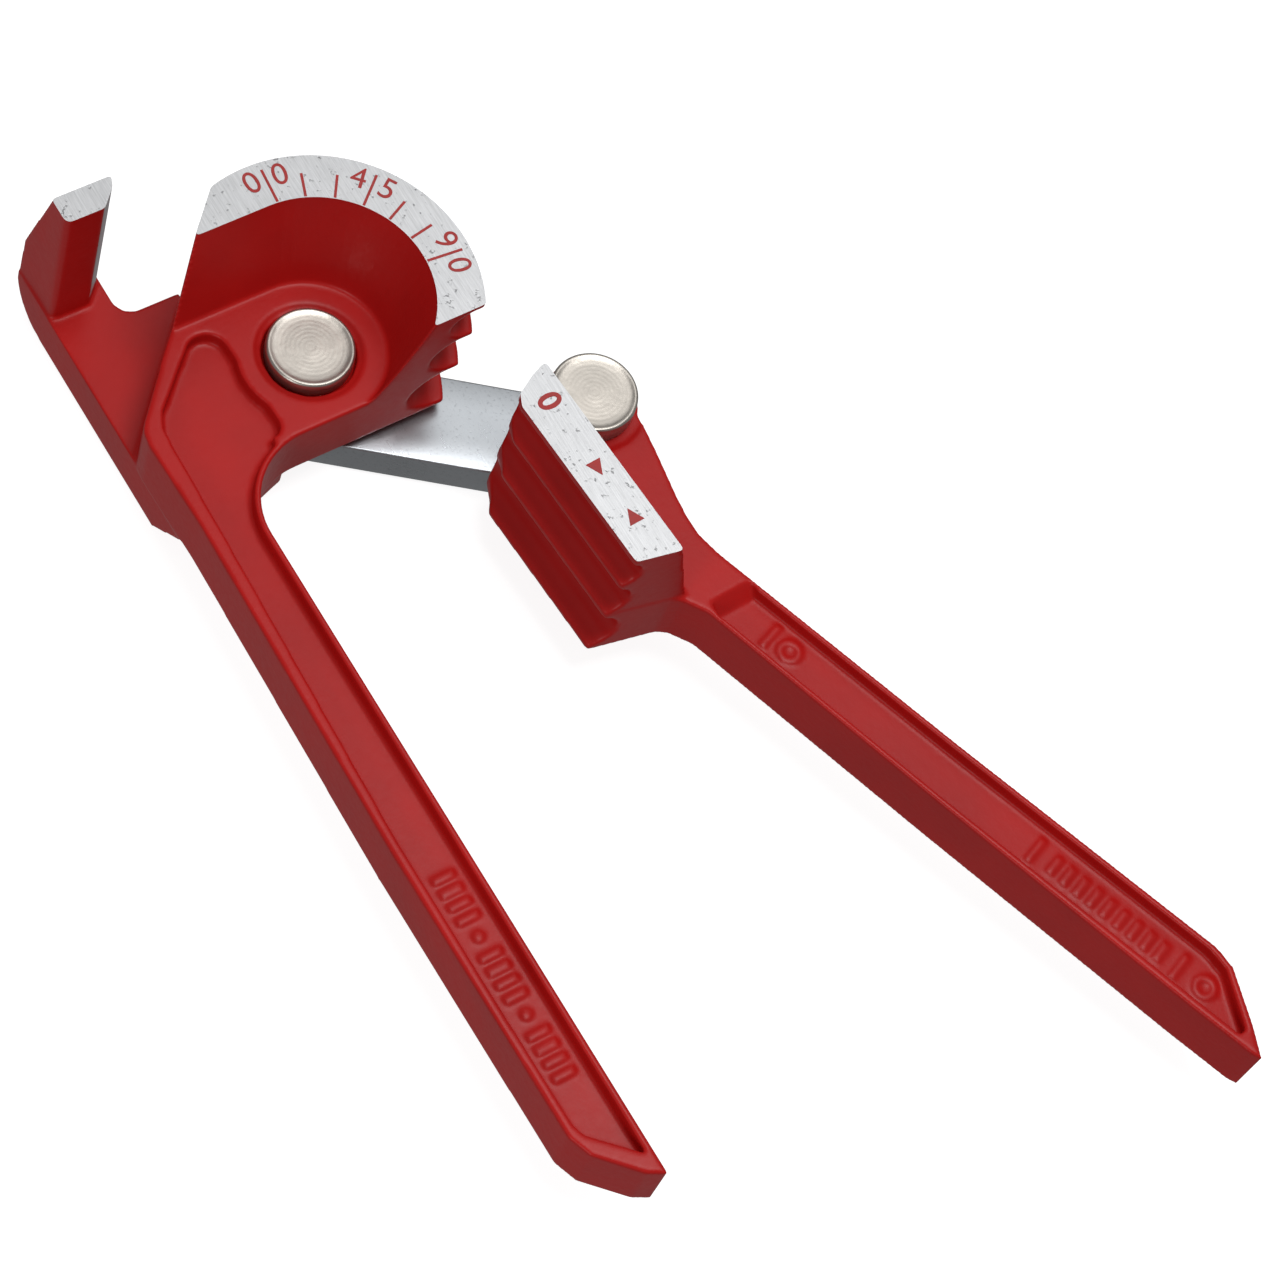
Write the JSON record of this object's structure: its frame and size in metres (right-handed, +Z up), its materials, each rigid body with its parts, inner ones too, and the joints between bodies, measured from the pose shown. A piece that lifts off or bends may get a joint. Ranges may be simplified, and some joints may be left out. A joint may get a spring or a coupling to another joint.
{
  "type": "manual tube bender",
  "caption": "Hand lever tube bender with a grooved half-round former, hook, grooved forming shoe and link bar between the two handles.",
  "frame": {"origin": "on the former's pivot axis at the flat underside of the link bar and hook plate", "axes": "+X along the former arm's handle away from the pivot, +Y towards the shoe arm, +Z up out of the numbered faces"},
  "size_m": [0.1977, 0.102, 0.0367],
  "materials": {
    "coated_casting": "red satin powder coat over a zinc casting, bare on the machined top faces",
    "plated_steel": "dull zinc plate with fine handling marks",
    "pin_steel": "nickel plate with turning rings"
  },
  "bodies": {
    "former": {"former_arm": "coated_casting"},
    "link": {"link_bar": "plated_steel", "former_pin": "pin_steel", "shoe_pin": "pin_steel", "former_washer": "plated_steel", "shoe_washer": "plated_steel"},
    "shoe": {"shoe_arm": "coated_casting"}
  },
  "joints": [
    {"name": "link_hinge", "type": "hinge", "parent": "former", "child": "link", "pos_m": [0, 0, 0.014], "axis": [0, 0, -1], "range_deg": [-127, 0]},
    {"name": "shoe_hinge", "type": "hinge", "parent": "link", "child": "shoe", "pos_m": [0.02576, 0.03443, 0.014], "axis": [0, 0, 1], "range_deg": [-38, 140]}
  ]
}
